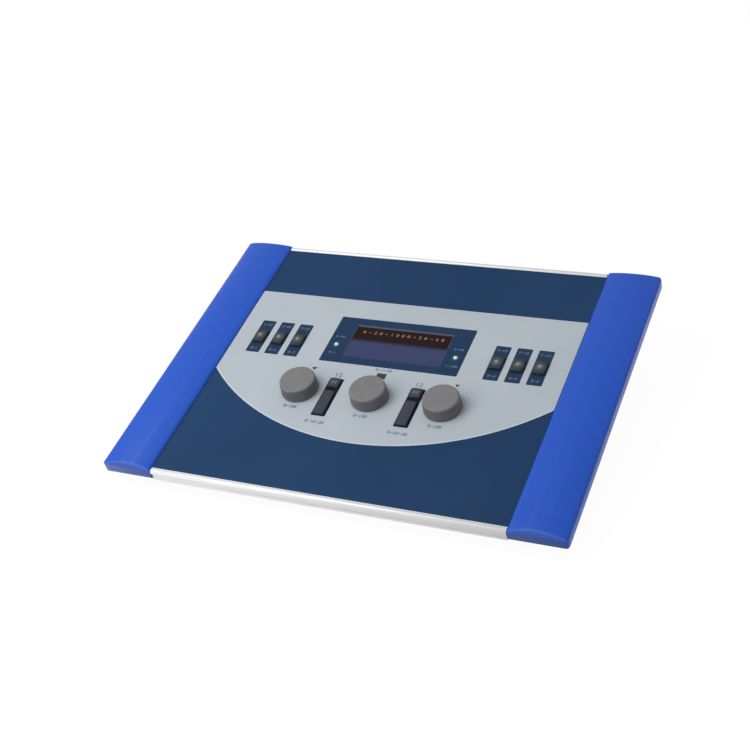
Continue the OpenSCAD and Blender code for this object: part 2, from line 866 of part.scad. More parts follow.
// Ribbon with a header at each end, in an S from the main board down to the socket board
module ribbon_cable() {
    width = 26;
    ribbon_x = 41;
    thick = 1;
    low_y = io_front + 4;
    low_z = io_top + 5;
    bend = 6;
    high_y = low_y - 2 * bend;
    high_z = low_z + 2 * bend;
    top_z = deck_z(high_y, board_bot);
    color([0.55, 0.57, 0.60]) translate([ribbon_x, 0, 0]) {
        along_x(width) {
            span(low_y - thick / 2, low_z - 1, low_y + thick / 2, low_z + eps);
            intersection() {
                translate([low_y - bend, low_z]) ring(bend, thick);
                span(low_y - bend, low_z, low_y + bend, low_z + 2 * bend);
            }
            intersection() {
                translate([high_y + bend, high_z]) ring(bend, thick);
                span(high_y - bend, high_z - 2 * bend, high_y + bend, high_z);
            }
            span(high_y - thick / 2, high_z - eps, high_y + thick / 2, top_z - 4);
        }
        along_x(width + 4) span(low_y - 3, io_top, low_y + 3, low_z);
        along_x(width + 4) polygon([[high_y - 3, top_z - 6], [high_y + 3, top_z - 6],
            [high_y + 3, deck_z(high_y + 3, board_bot - hair)],
            [high_y - 3, deck_z(high_y - 3, board_bot - hair)]]);
    }
}

// Flat ring of mean radius r and width t
module ring(r, t) {
    difference() {
        circle(r + t / 2);
        circle(r - t / 2);
    }
}

front_rail();
rear_rail();
top_plate();
control_foil();
left_end_cap();
right_end_cap();
end_cap_screws();
base_pan();
chassis_pillars();
base_screws();
rear_panel();
rubber_feet();
display_bezel();
display_window();
display_module();
status_leds();
main_board();
board_standoffs();
board_screws();
switch_housings();
key_bezel(1);  // key_bezel_1
key_bezel(2);  // key_bezel_2
key_bezel(3);  // key_bezel_3
key_bezel(4);  // key_bezel_4
key_bezel(5);  // key_bezel_5
key_bezel(6);  // key_bezel_6
bar_bezel(-1);  // bar_bezel_left
bar_bezel(1);  // bar_bezel_right
encoder(-knob_x);  // encoder_left
encoder(0);  // encoder_centre
encoder(knob_x);  // encoder_right
encoder_nuts();
phone_jacks();
jack_nuts();
dc_inlet();
serial_socket();
io_board();
ribbon_cable();
key(1);  // key_1
key(2);  // key_2
key(3);  // key_3
key(4);  // key_4
key(5);  // key_5
key(6);  // key_6
key_lens(1);  // key_lens_1
key_lens(2);  // key_lens_2
key_lens(3);  // key_lens_3
key_lens(4);  // key_lens_4
key_lens(5);  // key_lens_5
key_lens(6);  // key_lens_6
store_key(-1);  // store_key_left
store_key(1);  // store_key_right
tone_bar(-1);  // tone_bar_left
tone_bar(1);  // tone_bar_right
knob(-knob_x);  // knob_left
knob(0);  // knob_centre
knob(knob_x);  // knob_right
shaft(-knob_x);  // shaft_left
shaft(0);  // shaft_centre
shaft(knob_x);  // shaft_right
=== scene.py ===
"""Desktop audiometer: a flat tilted deck between two blue end caps, dressed piece by piece."""
import json
import math

import bmesh
import bpy
import numpy as np
from mathutils import Matrix

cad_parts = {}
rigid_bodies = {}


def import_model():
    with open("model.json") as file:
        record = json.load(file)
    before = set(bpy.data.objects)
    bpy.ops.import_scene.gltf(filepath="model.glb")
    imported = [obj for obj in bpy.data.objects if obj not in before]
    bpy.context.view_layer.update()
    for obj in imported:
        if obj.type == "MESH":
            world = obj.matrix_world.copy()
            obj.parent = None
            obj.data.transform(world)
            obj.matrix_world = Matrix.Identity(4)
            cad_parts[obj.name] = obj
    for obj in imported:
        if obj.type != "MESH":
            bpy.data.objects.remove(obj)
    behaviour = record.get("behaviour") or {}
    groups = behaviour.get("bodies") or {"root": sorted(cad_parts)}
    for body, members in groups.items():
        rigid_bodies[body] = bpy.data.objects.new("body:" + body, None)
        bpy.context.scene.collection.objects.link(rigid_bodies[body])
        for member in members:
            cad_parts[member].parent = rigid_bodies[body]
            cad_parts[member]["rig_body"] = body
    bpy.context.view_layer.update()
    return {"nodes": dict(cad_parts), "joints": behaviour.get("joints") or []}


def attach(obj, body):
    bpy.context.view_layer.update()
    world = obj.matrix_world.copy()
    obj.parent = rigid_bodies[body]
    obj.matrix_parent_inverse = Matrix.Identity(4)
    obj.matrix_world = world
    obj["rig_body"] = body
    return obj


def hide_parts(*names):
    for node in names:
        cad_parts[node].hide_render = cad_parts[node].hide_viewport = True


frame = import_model()


# ---------------- camera
# A tripod camera to the front right of the unit, a metre away and 34 degrees above it.
# The picture is rolled by ten degrees, so the deck's long edges run downhill in it.

camera_place = (0.40632, -0.74204, 0.61310)
camera_heading = (-0.404438, 0.721763, -0.561683)
camera_roll = math.radians(10.39)
camera_lens = 64.18
camera_sensor = 36.0
camera_near, camera_far = 0.05, 50.0


def camera_axes(heading, roll):
    """Right, up and forward: level axes from two cross products, then both turned by the roll."""
    forward = np.array(heading) / np.linalg.norm(heading)
    level = np.cross(forward, (0.0, 0.0, 1.0))
    level /= np.linalg.norm(level)
    upright = np.cross(level, forward)
    right = level * math.cos(roll) - upright * math.sin(roll)
    up = upright * math.cos(roll) + level * math.sin(roll)
    return right, up, forward


def aimed(name, data, place, heading, roll=0.0):
    """Camera or lamp at its place, whose local X, Y and Z lie along right, up and backward."""
    right, up, forward = camera_axes(heading, roll)
    thing = bpy.data.objects.new(name, data)
    bpy.context.scene.collection.objects.link(thing)
    matrix = np.eye(4)
    matrix[:3, :3] = np.column_stack((right, up, -forward))
    matrix[:3, 3] = place
    thing.matrix_world = Matrix(matrix.tolist())
    return thing


def tripod_camera():
    """Camera with its lens in millimetres, looking along its heading."""
    data = bpy.data.cameras.new("camera")
    data.lens = camera_lens
    data.sensor_width = camera_sensor
    data.clip_start = camera_near
    data.clip_end = camera_far
    return aimed("camera", data, camera_place, camera_heading, camera_roll)


bpy.context.scene.camera = tripod_camera()


# ---------------- table and studio light
# The unit stands on a pale table in an even room. A large soft box hangs over it, to the left,
# so the knobs throw soft shadows to the right; a smaller one stands at the front left.

table_size = 14.0
table_white = 0.42
table_shadow_share = 0.065
table_lit = 0.72
# Painted light on the table in reflections: a fall from left to right, a rise past the right end, and a
# painted shadow patch under the unit.
table_mirrored_left, table_mirrored_right, lit_reach = 2.15, 0.95, 0.16
open_gain, open_from, open_to = 0.95, 0.185, 0.235
patch_half_width, patch_half_length = 0.172, 0.122
patch_level, patch_fade = 0.35, 0.012
room_strength = 0.544
room_mirrored = 0.496
softboxes = (((-0.60, -0.40, 1.05), 0.90, 9.6), ((-0.85, -0.98, 0.62), 0.36, 2.6))


def reckon(tree, operation, *terms):
    """Result of one sum on the terms, each a number or another node's socket."""
    step = tree.nodes.new("ShaderNodeMath")
    step.operation = operation
    for place, term in enumerate(terms):
        if isinstance(term, (int, float)):
            step.inputs[place].default_value = term
        else:
            tree.links.new(term, step.inputs[place])
    return step.outputs[0]


def ramped(tree, source, start, end, low, high):
    """Value that goes evenly from low to high as the source goes from start to end, and no further."""
    span = tree.nodes.new("ShaderNodeMapRange")
    for name, value in (("From Min", start), ("From Max", end), ("To Min", low), ("To Max", high)):
        span.inputs[name].default_value = value
    tree.links.new(source, span.inputs["Value"])
    return span.outputs["Result"]


def coordinates(tree, source=None):
    """X, Y and Z of a source vector, or of the Object coordinates where none is given."""
    if source is None:
        source = tree.nodes.new("ShaderNodeTexCoord").outputs["Object"]
    parts = tree.nodes.new("ShaderNodeSeparateXYZ")
    tree.links.new(source, parts.inputs["Vector"])
    return parts.outputs


def mirrored(tree, plain, level):
    """Strength that is plain for the camera and level in a reflection: (level - plain) times Is Glossy
    Ray, plus plain."""
    glossy = tree.nodes.new("ShaderNodeLightPath").outputs["Is Glossy Ray"]
    return reckon(tree, "MULTIPLY_ADD", glossy, reckon(tree, "SUBTRACT", level, plain), plain)


def beyond(tree, side, half):
    """How far a place lies out past half on either hand: the absolute value of its side less half."""
    return reckon(tree, "SUBTRACT", reckon(tree, "ABSOLUTE", side), half)


def table_in_mirror(tree):
    """Painted light and shadow on the table as seen in a reflection. Its brightness falls from left to
    right along the unit, away from the lamps, and rises again beyond its right end. A painted shadow
    under the unit is dim, and fades out past its half width and half length."""
    parts = coordinates(tree)
    level = ramped(tree, parts["X"], -lit_reach, lit_reach, table_mirrored_left, table_mirrored_right)
    level = reckon(tree, "ADD", level, ramped(tree, parts["X"], open_from, open_to, 0.0, open_gain))
    # Painted shadow under the unit, in reflections of the table.
    outside = reckon(tree, "MAXIMUM", beyond(tree, parts["X"], patch_half_width),
                     beyond(tree, parts["Y"], patch_half_length))
    return reckon(tree, "MULTIPLY", level, ramped(tree, outside, 0.0, patch_fade, patch_level, 1.0))


def lit_and_seen(tree, lit, seen, output_kind):
    """Surface that is lit where light falls on it, and seen where a ray comes from the camera, off metal
    or through glass."""
    kinds = tree.nodes.new("ShaderNodeLightPath").outputs
    straight = reckon(tree, "MAXIMUM", kinds["Is Camera Ray"], kinds["Is Glossy Ray"])
    straight = reckon(tree, "MAXIMUM", straight, kinds["Is Transmission Ray"])
    choice = tree.nodes.new("ShaderNodeMixShader")
    output = tree.nodes.new(output_kind)
    for place, source in enumerate((straight, lit.outputs[0], seen.outputs[0])):
        tree.links.new(source, choice.inputs[place])
    tree.links.new(choice.outputs[0], output.inputs["Surface"])


def table_paint():
    """Matt grey for the light. What is seen is a white of its own, one less the shadow share times the
    lit level, and a small matt rest that shows the shadow."""
    material = bpy.data.materials.new("table_white")
    material.use_nodes = True
    tree = material.node_tree
    tree.nodes.clear()
    lit, dimmed = (tree.nodes.new("ShaderNodeBsdfDiffuse") for _ in range(2))
    lit.inputs["Color"].default_value = (table_white,) * 3 + (1.0,)
    dimmed.inputs["Color"].default_value = (table_shadow_share,) * 3 + (1.0,)
    own = tree.nodes.new("ShaderNodeEmission")
    own_white = 1.0 - table_shadow_share * table_lit
    tree.links.new(mirrored(tree, own_white, table_in_mirror(tree)), own.inputs["Strength"])
    seen = tree.nodes.new("ShaderNodeAddShader")
    tree.links.new(dimmed.outputs[0], seen.inputs[0])
    tree.links.new(own.outputs[0], seen.inputs[1])
    lit_and_seen(tree, lit, seen, "ShaderNodeOutputMaterial")
    return material


def white_table():
    """Square sheet at height zero, wide enough to reach past every view."""
    half = table_size / 2
    corners = [(-half, -half, 0), (half, -half, 0), (half, half, 0), (-half, half, 0)]
    mesh = bpy.data.meshes.new("table")
    mesh.from_pydata(corners, [], [(0, 1, 2, 3)])
    mesh.materials.append(table_paint())
    table = bpy.data.objects.new("table", mesh)
    bpy.context.scene.collection.objects.link(table)


def white_room():
    """Even world light, plain white where the camera sees it and dimmer in reflections."""
    world = bpy.data.worlds.new("room")
    bpy.context.scene.world = world
    world.use_nodes = True
    tree = world.node_tree
    tree.nodes.clear()
    fill, seen = (tree.nodes.new("ShaderNodeBackground") for _ in range(2))
    for background in (fill, seen):
        background.inputs["Color"].default_value = (1.0, 1.0, 1.0, 1.0)
    fill.inputs["Strength"].default_value = room_strength
    tree.links.new(mirrored(tree, 1.0, room_mirrored), seen.inputs["Strength"])
    lit_and_seen(tree, fill, seen, "ShaderNodeOutputWorld")


def softbox(place, size, power):
    """Square area lamp at its place, turned to face the middle of the unit's foot."""
    data = bpy.data.lights.new("softbox", "AREA")
    data.size = size
    data.energy = power
    aimed("softbox", data, place, -np.array(place))


white_table()
white_room()
for place, size, power in softboxes:
    softbox(place, size, power)
bpy.context.scene.view_settings.view_transform = "Standard"


# ---------------- tray
# Shallow tray of folded sheet steel under the deck, closed by a bolted rear panel. Both wear a
# fine textured dark grey powder coat, baked on, with a slightly pebbled skin.

powder = (0.0150, 0.0160, 0.0180), (0.0250, 0.0265, 0.0290)
coat_roughness = 0.18


def finish(name, roughness, metallic=0.0, coat=0.0, specular=0.5, light=0.0):
    """Material with one Principled shader; what is even all over is set on the shader's own sockets."""
    material = bpy.data.materials.new(name)
    material.use_nodes = True
    even = {"Roughness": roughness, "Metallic": metallic, "Coat Weight": coat,
            "Coat Roughness": coat_roughness, "Specular IOR Level": specular, "Emission Strength": light}
    for socket, value in even.items():
        material.node_tree.nodes["Principled BSDF"].inputs[socket].default_value = value
    return material


def pattern(material, kind, cells, stretch=(1.0, 1.0, 1.0)):
    """Texture node of so many cells a metre in Object coordinates, squeezed along the axes by stretch."""
    nodes, links = material.node_tree.nodes, material.node_tree.links
    place = nodes.new("ShaderNodeTexCoord")
    spread = nodes.new("ShaderNodeMapping")
    spread.inputs["Scale"].default_value = stretch
    texture = nodes.new(kind)
    texture.inputs["Scale"].default_value = cells
    links.new(place.outputs["Object"], spread.inputs["Vector"])
    links.new(spread.outputs["Vector"], texture.inputs["Vector"])
    return texture


def noise(material, cells, detail=2.0, stretch=(1.0, 1.0, 1.0)):
    """Noise from nought to one, with detail finer octaves on top."""
    texture = pattern(material, "ShaderNodeTexNoise", cells, stretch)
    texture.inputs["Detail"].default_value = detail
    return texture.outputs["Fac"]


def between(material, source, low, high, start=0.35, end=0.65):
    """Colour that goes from low to high as the source goes from start to end."""
    ramp = material.node_tree.nodes.new("ShaderNodeValToRGB")
    for stop, position, colour in zip(ramp.color_ramp.elements, (start, end), (low, high)):
        stop.position = position
        stop.color = (*colour, 1.0)
    material.node_tree.links.new(source, ramp.inputs["Fac"])
    return ramp.outputs["Color"]


def feed(material, socket, name):
    """Links a value or a colour to the shader's socket of that name."""
    shader = material.node_tree.nodes["Principled BSDF"]
    material.node_tree.links.new(socket, shader.inputs[name])


def gloss_drift(material, source, low, high, start=0.3, end=0.7):
    """Roughness that goes from low to high with the source."""
    feed(material, ramped(material.node_tree, source, start, end, low, high), "Roughness")


def relief(material, source, strength, depth):
    """Fine bumps from the source, depth metres high at full strength."""
    bump = material.node_tree.nodes.new("ShaderNodeBump")
    bump.inputs["Strength"].default_value = strength
    bump.inputs["Distance"].default_value = depth
    material.node_tree.links.new(source, bump.inputs["Height"])
    feed(material, bump.outputs["Normal"], "Normal")


def coating(name, low, high, roughness, grain_cells, grain_depth, specular=0.5, drift_cells=9.0,
            gloss_cells=60.0, gloss_swing=0.025, grain_strength=0.35, light=0.0):
    """Sprayed, printed or moulded skin: broad colour drift, finer gloss drift and a fine grain."""
    material = finish(name, roughness, specular=specular, light=light)
    feed(material, between(material, noise(material, drift_cells, 3.0), low, high), "Base Color")
    gloss = noise(material, gloss_cells, 3.0)
    gloss_drift(material, gloss, roughness - gloss_swing, roughness + gloss_swing)
    relief(material, noise(material, grain_cells), grain_strength, grain_depth)
    return material


def dress(material, *nodes):
    """Gives carried-over CAD nodes their finish."""
    for node in nodes:
        slots = frame["nodes"][node].data.materials
        slots.clear()
        slots.append(material)


powder_coat = coating("powder_coat", *powder, 0.55, 900.0, 0.00022, specular=0.35, drift_cells=700.0)
dress(powder_coat, "base_pan", "rear_panel")


# ---------------- rubber feet
# Four turned feet of matt black rubber under the tray. Each stands on a raised rim and has a
# dished middle, with a shallow counterbore where its rivet sits.

rubber = (0.010, 0.010, 0.011), (0.018, 0.018, 0.019)
foot_x, foot_front, foot_back = 112.0, -99.358, 85.642
foot_profile = ((0.0, 1.7), (1.9, 1.7), (2.1, 1.5), (2.3, 0.9), (2.6, 0.7), (4.6, 0.55),
                (5.2, 0.35), (5.6, 0.06), (5.9, 0.0), (6.9, 0.0), (7.4, 0.12), (7.8, 0.5),
                (7.95, 1.0), (8.0, 1.6), (7.96, 2.6), (7.8, 3.4), (7.6, 3.8), (7.4, 3.95),
                (7.2, 4.0), (0.0, 4.0))


def metres(*place):
    """Metres of a place in millimetres."""
    return np.array(place) / 1000.0


def turned(profile, turns=64):
    """Rings about Z: each radius and height of the profile is swept through a full turn of even steps."""
    angle = np.arange(turns) * (2 * math.pi / turns)
    radius, height = (column[:, None] for column in np.array(profile, dtype=float).T)
    return np.stack((radius * np.cos(angle), radius * np.sin(angle), height + 0 * angle), axis=-1)


def placed(rings, foot, axis=(0.0, 0.0, 1.0)):
    """Rings drawn about Z in millimetres, set on foot in metres with Z along axis. Their X stays nearest
    the row's X, or nearest its Z where the axis itself lies along X."""
    axis = np.array(axis) / np.linalg.norm(axis)
    guide = np.array((1.0, 0.0, 0.0) if abs(axis[0]) < abs(axis[1]) + abs(axis[2]) else (0.0, 0.0, 1.0))
    across = guide - axis * (guide @ axis)
    across /= np.linalg.norm(across)
    return np.array(foot) + rings @ np.stack((across, np.cross(axis, across), axis)) / 1000.0


def outward(points, *faces):
    """Skin with its faces turned outwards. They look inwards where the volumes of the tetrahedra from
    its middle to each face, a quad counting as two triangles, add up to less than nought."""
    halves = ((0, 1, 2), (0, 2, 3))
    triangles = np.concatenate([block[:, half] for block in faces for half in halves[:block.shape[1] - 2]])
    a, b, c = (points[triangles[:, corner]] - points.mean(0) for corner in range(3))
    if np.einsum("ij,ij->", a, np.cross(b, c)) < 0:
        faces = [block[:, ::-1] for block in faces]
    return points, *faces


def shell(rings, looped=False):
    """Closed skin of rings: quads between neighbours, and then quads from the last ring to the first
    where it is looped, or else a fan to the mean point at both ends."""
    rows, columns = rings.shape[:2]
    row, column = np.meshgrid(np.arange(rows if looped else rows - 1), np.arange(columns), indexing="ij")
    next_row, next_column = (row + 1) % rows, (column + 1) % columns
    corners = ((row, column), (row, next_column), (next_row, next_column), (next_row, column))
    quads = np.stack([down * columns + along for down, along in corners], axis=-1).reshape(-1, 4)
    points = rings.reshape(-1, 3)
    if looped:
        return outward(points, quads)
    last, middle = (rows - 1) * columns, np.full(columns, rows * columns)
    fans = np.concatenate((np.stack((middle, next_column[0], column[0]), axis=-1),
                           np.stack((middle + 1, last + column[0], last + next_column[0]), axis=-1)))
    return outward(np.concatenate((points, [rings[0].mean(0)], [rings[-1].mean(0)])), quads, fans)


def join(name, mesh, material, body, replaced):
    """Smooth piece of one mesh and one material, riding on its body for the nodes it replaces."""
    mesh.materials.append(material)
    mesh.shade_smooth()
    piece = bpy.data.objects.new(name, mesh)
    bpy.context.scene.collection.objects.link(piece)
    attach(piece, body)
    if replaced:
        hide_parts(*replaced)
    return piece


def stand(name, shells, material, body, replaced=(), crease=32.0):
    """Piece of one or more skins, smooth but for edges sharper than crease."""
    points, faces, start = [], [], 0
    for skin in shells:
        points.append(skin[0])
        for block in skin[1:]:
            faces.extend((block + start).tolist())
        start += len(skin[0])
    mesh = bpy.data.meshes.new(name)
    mesh.from_pydata(np.concatenate(points), [], faces)
    piece = join(name, mesh, material, body, replaced)
    mesh.set_sharp_from_angle(angle=math.radians(crease))
    return piece


foot_rubber = coating("foot_rubber", *rubber, 0.78, 1300.0, 0.00012, specular=0.3)
turned_feet = [shell(placed(turned(foot_profile), metres(x, y, 0.0)))
               for y in (foot_front, foot_back) for x in (-foot_x, foot_x)]
stand("turned_feet", turned_feet, foot_rubber, "chassis", ("rubber_feet",))


# ---------------- tray screws
# Zinc-plated pan-head screws with a cross recess: four through the tray's floor into the
# pillars and four through the rear panel into the tray's flanges.

zinc_pair = (0.44, 0.45, 0.47), (0.62, 0.62, 0.60)
head_profile = ((0.0, 0.0), (0.15, 0.0), (0.3, 0.0), (0.45, 0.0), (0.6, 0.0), (0.75, 0.01),
                (0.9, 0.01), (1.05, 0.02), (1.2, 0.04), (1.35, 0.06), (1.5, 0.09), (1.65, 0.13),
                (1.8, 0.18), (2.1, 0.3), (2.4, 0.5), (2.62, 0.75), (2.75, 1.1), (2.8, 1.5),
                (2.8, 1.8), (1.2, 1.8), (1.2, 2.2))
head_height, face_depth = 1.8, 0.3
core_radius, point_radius, point_length = 1.2, 0.7, 0.8
cross_half, cross_reach, cross_deep, cross_slope = 0.34, 1.5, 1.0, 0.16
screw_turns = 48
floor_screw_x, floor_screw_front, floor_screw_back, floor_seat = 118.0, -85.358, 71.642, 2.2
rear_face = 99.6415
rear_screw_x, rear_screw_heights, rear_head_top = 125.5, (12.0, 42.0), 3.3
floor_screw_length, rear_screw_length = 8.0, 4.0
metal_share = 0.9


def screw_rings(length):
    """Turned screw, head at zero and point up. The head sinks by the cross's depth where the lesser of
    |x| and |y| is under its half width and the greater under its reach, each with a short even slope."""
    shank = ((core_radius, head_height + length - point_length), (point_radius, head_height + length))
    rings = turned(head_profile + shank, screw_turns)
    across, along = np.abs(rings[..., 0]), np.abs(rings[..., 1])
    arm = np.clip((cross_half + cross_slope - np.minimum(across, along)) / cross_slope, 0, 1)
    reach = np.clip((cross_reach + cross_slope - np.maximum(across, along)) / cross_slope, 0, 1)
    rings[..., 2] += np.where(rings[..., 2] < face_depth, cross_deep * arm * reach, 0)
    return rings


def plated(name, dark, light, roughness, cells):
    """Plated steel: cloudy colour, with fine pits and drifting gloss."""
    material = finish(name, roughness, metallic=metal_share)
    cloud = noise(material, cells, 4.0)
    feed(material, between(material, cloud, dark, light, 0.3, 0.7), "Base Color")
    gloss_drift(material, cloud, roughness - 0.08, roughness + 0.1)
    relief(material, noise(material, 2600.0), 0.25, 0.00003)
    return material


zinc = plated("zinc_plating", *zinc_pair, 0.34, 420.0)
tray_screws = [shell(placed(screw_rings(floor_screw_length), metres(x, y, floor_seat)))
               for y in (floor_screw_front, floor_screw_back) for x in (-floor_screw_x, floor_screw_x)]
for x in (-rear_screw_x, rear_screw_x):
    heads = [metres(x, rear_face + rear_head_top, z) for z in rear_screw_heights]
    tray_screws += [shell(placed(screw_rings(rear_screw_length), head, (0.0, -1.0, 0.0))) for head in heads]
stand("tray_screws", tray_screws, zinc, "chassis", ("base_screws",))


# ---------------- inside the tray
# Nickel-plated pillars and standoffs, two green glass-fibre boards held by small screws, the
# grey ribbon between them, black push switches and the display's black module.

nickel_pair = (0.52, 0.52, 0.50), (0.66, 0.65, 0.62)
trace_and_mask = (0.030, 0.200, 0.075), (0.008, 0.085, 0.030)
groove_and_back = (0.115, 0.120, 0.130), (0.265, 0.275, 0.290)
moulded_pair = (0.010, 0.010, 0.012), (0.017, 0.017, 0.019)
trace_cells, core_cells = 170.0, 125.0


def circuit_board():
    """Green solder mask over copper: pale traces run where a cell pattern is near its borders."""
    material = finish("solder_mask", 0.36, coat=0.3)
    cells = pattern(material, "ShaderNodeTexVoronoi", trace_cells)
    cells.feature = "DISTANCE_TO_EDGE"
    traces = between(material, cells.outputs["Distance"], *trace_and_mask, 0.03, 0.06)
    feed(material, traces, "Base Color")
    relief(material, cells.outputs["Distance"], 0.2, 0.00004)
    gloss_drift(material, noise(material, 90.0), 0.30, 0.44)
    return material


def ribbon_jacket():
    """Grey ribbon of side-by-side cores: a sine across X gives each core its round back."""
    material = finish("ribbon_jacket", 0.5)
    cores = pattern(material, "ShaderNodeTexWave", core_cells)
    cores.bands_direction = "X"
    feed(material, between(material, cores.outputs["Fac"], *groove_and_back, 0.1, 0.6), "Base Color")
    relief(material, cores.outputs["Fac"], 0.6, 0.0003)
    gloss_drift(material, noise(material, 150.0), 0.42, 0.58)
    return material


nickel = plated("nickel_plating", *nickel_pair, 0.28, 260.0)
solder_mask = circuit_board()
moulded_black = coating("moulded_black", *moulded_pair, 0.48, 1800.0, 0.00005, specular=0.4)
dress(nickel, "chassis_pillars", "board_standoffs")
dress(zinc, "board_screws")
dress(solder_mask, "main_board", "io_board")
dress(ribbon_jacket(), "ribbon_cable")
dress(moulded_black, "display_module", "switch_housings")


# ---------------- rear sockets
# Six 6.35 mm phone jacks with nickel bushings and hex nuts, a barrel inlet with its centre
# pin, and a nine-way D socket in a plated shell, all on the tray's rear panel.

black_pair = (0.010, 0.010, 0.012), (0.018, 0.018, 0.020)
metal_pair = (0.50, 0.50, 0.49), (0.66, 0.66, 0.64)
socket_z, jack_first, jack_pitch, jack_count = 24.0, -90.0, 22.0, 6
inlet_x, pin_half = 92.0, 1.1
serial_x, serial_face, serial_half = 58.0, rear_face + 6, (7.6, 0.3, 3.3)
outside_middle, outside_half = rear_face + 10, 10.4
everywhere = 900.0
thread_pitch, thread_length, thread_deep, thread_steps, thread_turns = 0.75, 2.7, 0.16, 30, 48
bushing_radius, bushing_bore, bushing_foot = 4.92, 3.25, 3.75
nut_ease = 0.00035


def within(material, middle, half):
    """One inside a box given by its middle and half sides in millimetres, and nought outside."""
    tree = material.node_tree
    parts = coordinates(tree)
    near = [reckon(tree, "COMPARE", parts[axis], middle[axis] / 1000.0, half[axis] / 1000.0)
            for axis in range(3)]
    return reckon(tree, "MULTIPLY", reckon(tree, "MULTIPLY", near[0], near[1]), near[2])


def blended(material, share, first, second):
    """Colour of the first socket where the share is nought and of the second where it is one."""
    mix = material.node_tree.nodes.new("ShaderNodeMix")
    mix.data_type = "RGBA"
    colour_a, colour_b = [socket for socket in mix.inputs if socket.type == "RGBA"]
    for source, socket in ((share, mix.inputs[0]), (first, colour_a), (second, colour_b)):
        material.node_tree.links.new(source, socket)
    return next(socket for socket in mix.outputs if socket.type == "RGBA")


def part_metal(name, middle, half, metal_inside):
    """Two finishes in one solid, black plastic and plated metal, parted by a box. Both have a cloudy
    colour and fine pits."""
    material = finish(name, 0.36)
    mask = within(material, middle, half)
    cloud = noise(material, 300.0, 3.0)
    black, metal = (between(material, cloud, *pair) for pair in (black_pair, metal_pair))
    ends = (black, metal) if metal_inside else (metal, black)
    levels = (0.0, metal_share) if metal_inside else (metal_share, 0.0)
    feed(material, blended(material, mask, *ends), "Base Color")
    feed(material, ramped(material.node_tree, mask, 0.0, 1.0, *levels), "Metallic")
    gloss_drift(material, cloud, 0.28, 0.46)
    relief(material, noise(material, 2200.0), 0.25, 0.00004)
    return material


def thread_rings():
    """Bushing thread, from the panel out and back along the bore: the outer radius rises and falls as a
    triangle of the height over the pitch less the angle over a turn."""
    height = np.linspace(0.0, thread_length, thread_steps)[:, None]
    angle = np.arange(thread_turns) * (2 * math.pi / thread_turns)
    phase = (height / thread_pitch - angle / (2 * math.pi)) % 1.0
    cut = (height > 0) * (height < height[-1])
    radius = bushing_radius + thread_deep * (1.0 - np.abs(2.0 * phase - 1.0)) * cut
    outer = np.stack((radius * np.cos(angle), radius * np.sin(angle), height + 0 * angle), axis=-1)
    inner = outer[::-1].copy()
    inner[..., :2] *= bushing_bore / np.linalg.norm(inner[..., :2], axis=-1, keepdims=True)
    return np.concatenate((outer, inner))


def eased(node, name, width, segments, material, crease=28.0, weld=2e-6, flat=0.6):
    """Copy of a CAD node whose loose triangles are merged and flats joined up, with its creases rounded
    to width."""
    source = frame["nodes"][node]
    mesh = source.data.copy()
    mesh.name = name
    work = bmesh.new()
    work.from_mesh(mesh)
    bmesh.ops.remove_doubles(work, verts=work.verts, dist=weld)
    bmesh.ops.dissolve_limit(work, angle_limit=math.radians(flat), verts=work.verts, edges=work.edges)
    work.to_mesh(mesh)
    work.free()
    mesh.materials.clear()
    piece = join(name, mesh, material, source["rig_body"], (node,))
    bevel = piece.modifiers.new("eased_edges", "BEVEL")
    bevel.width = width
    bevel.segments = segments
    bevel.limit_method = "ANGLE"
    bevel.angle_limit = math.radians(crease)
    bevel.use_clamp_overlap = True
    bevel.harden_normals = True


jack_metal = ((0, outside_middle, socket_z), (everywhere, outside_half, everywhere))
pin_metal = ((inlet_x, rear_face, socket_z), (pin_half, everywhere, pin_half))
serial_black = ((serial_x, serial_face, socket_z), serial_half)
dress(part_metal("jack_finish", *jack_metal, metal_inside=True), "phone_jacks")
dress(part_metal("inlet_finish", *pin_metal, metal_inside=True), "dc_inlet")
dress(part_metal("socket_finish", *serial_black, metal_inside=False), "serial_socket")
bushing_feet = [metres(jack_first + jack_pitch * place, rear_face + bushing_foot, socket_z)
                for place in range(jack_count)]
threads = [shell(placed(thread_rings(), foot, (0.0, 1.0, 0.0)), looped=True) for foot in bushing_feet]
stand("bushing_threads", threads, nickel, "chassis")
eased("jack_nuts", "bushing_nuts", nut_ease, 2, nickel)


# ---------------- panel
# Flat aluminium sheet with a matt navy coating, slid into the slots of both rails and of the
# end caps. Its coating is slightly uneven, as sprayed coatings are.

navy_pair = (0.0145, 0.0480, 0.1260), (0.0110, 0.0410, 0.1090)

dress(coating("navy_coating", *navy_pair, 0.55, 2600.0, 0.00006, specular=0.1), "top_plate")


# ---------------- grey field
# Polyester foil printed light blue-grey on its back, stuck to the panel. Its arc is die-cut,
# and a thin pale line along it is a painted highlight on the cut edge; small dark marks and plain
# numbers are printed too.

field_pair = (0.428, 0.474, 0.522), (0.408, 0.452, 0.500)
# Colours of the painted highlight along the arc's cut edge.
arc_highlight_pair = (0.560, 0.630, 0.700), (0.520, 0.590, 0.660)
dark_ink_pair = (0.030, 0.040, 0.052), (0.046, 0.056, 0.068)
grey_ink_pair = (0.055, 0.062, 0.075), (0.080, 0.087, 0.100)
knob_from_front = 96.7
arc_radius, arc_low, arc_reach, arc_steps = 198.6, 50.7, 139.3, 181
line_outer, line_inner, line_top, line_foot = 0.05, 1.0, 0.06, -0.02
ink_level, ink_thick = 0.02, 0.03
index_bar = (-4.3, 117.8, 3.5, 123.4)
index_wedges = ((-57.1, 118.6, 5.0, 3.0), (61.9, 118.8, 3.4, 2.8))
field_rows = (("0-100", -59.5, 78.2, 2.2, 0.38), ("0-100", -0.7, 77.9, 2.2, 0.38),
              ("0-100", 59.0, 77.7, 2.2, 0.38),
              ("0-10-20", -33.8, 66.3, 2.25, 0.40), ("0-10-20", 33.8, 66.3, 2.25, 0.40))
